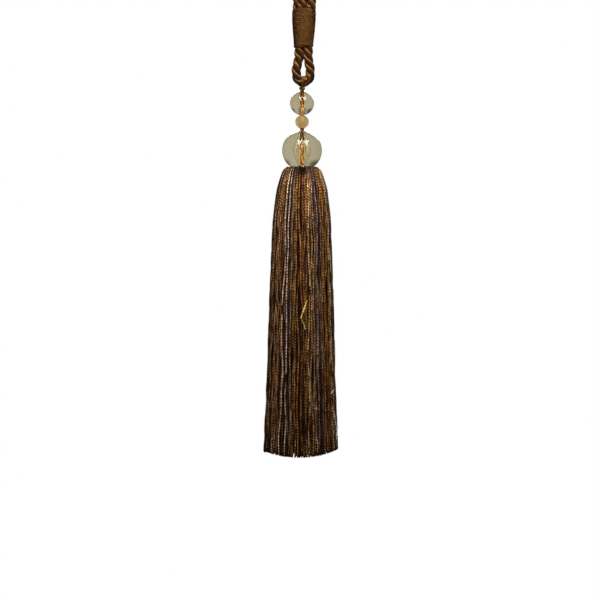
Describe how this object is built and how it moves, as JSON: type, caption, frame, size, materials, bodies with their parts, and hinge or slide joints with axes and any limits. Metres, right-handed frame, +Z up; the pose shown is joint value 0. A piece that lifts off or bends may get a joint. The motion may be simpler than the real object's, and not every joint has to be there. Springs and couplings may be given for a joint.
{
  "type": "tassel tieback",
  "caption": "Hanging curtain tieback of brown twisted rope, bound with thread, with clear and beige beads above a long mixed-brown yarn tassel.",
  "frame": {"origin": "where the hook bears, at the inside top of the two rope loops, straight above the tassel", "axes": "+Z up along the hanging tassel, +Y to the back, so the front faces -Y, +X to the viewer's right"},
  "size_m": [0.0525, 0.0526, 0.3487],
  "materials": {
    "rope": "satin",
    "thread": "satin",
    "clear_bead": "polished",
    "pale_bead": "polished",
    "yarn": "matte"
  },
  "bodies": {
    "root": {"rope_loop_front": "rope", "rope_loop_back": "rope", "rope_eye": "rope", "binding": "thread", "hanging_thread": "thread", "bead_small": "clear_bead", "bead_middle": "pale_bead", "bead_large": "clear_bead", "skirt": "yarn"}
  },
  "joints": []
}
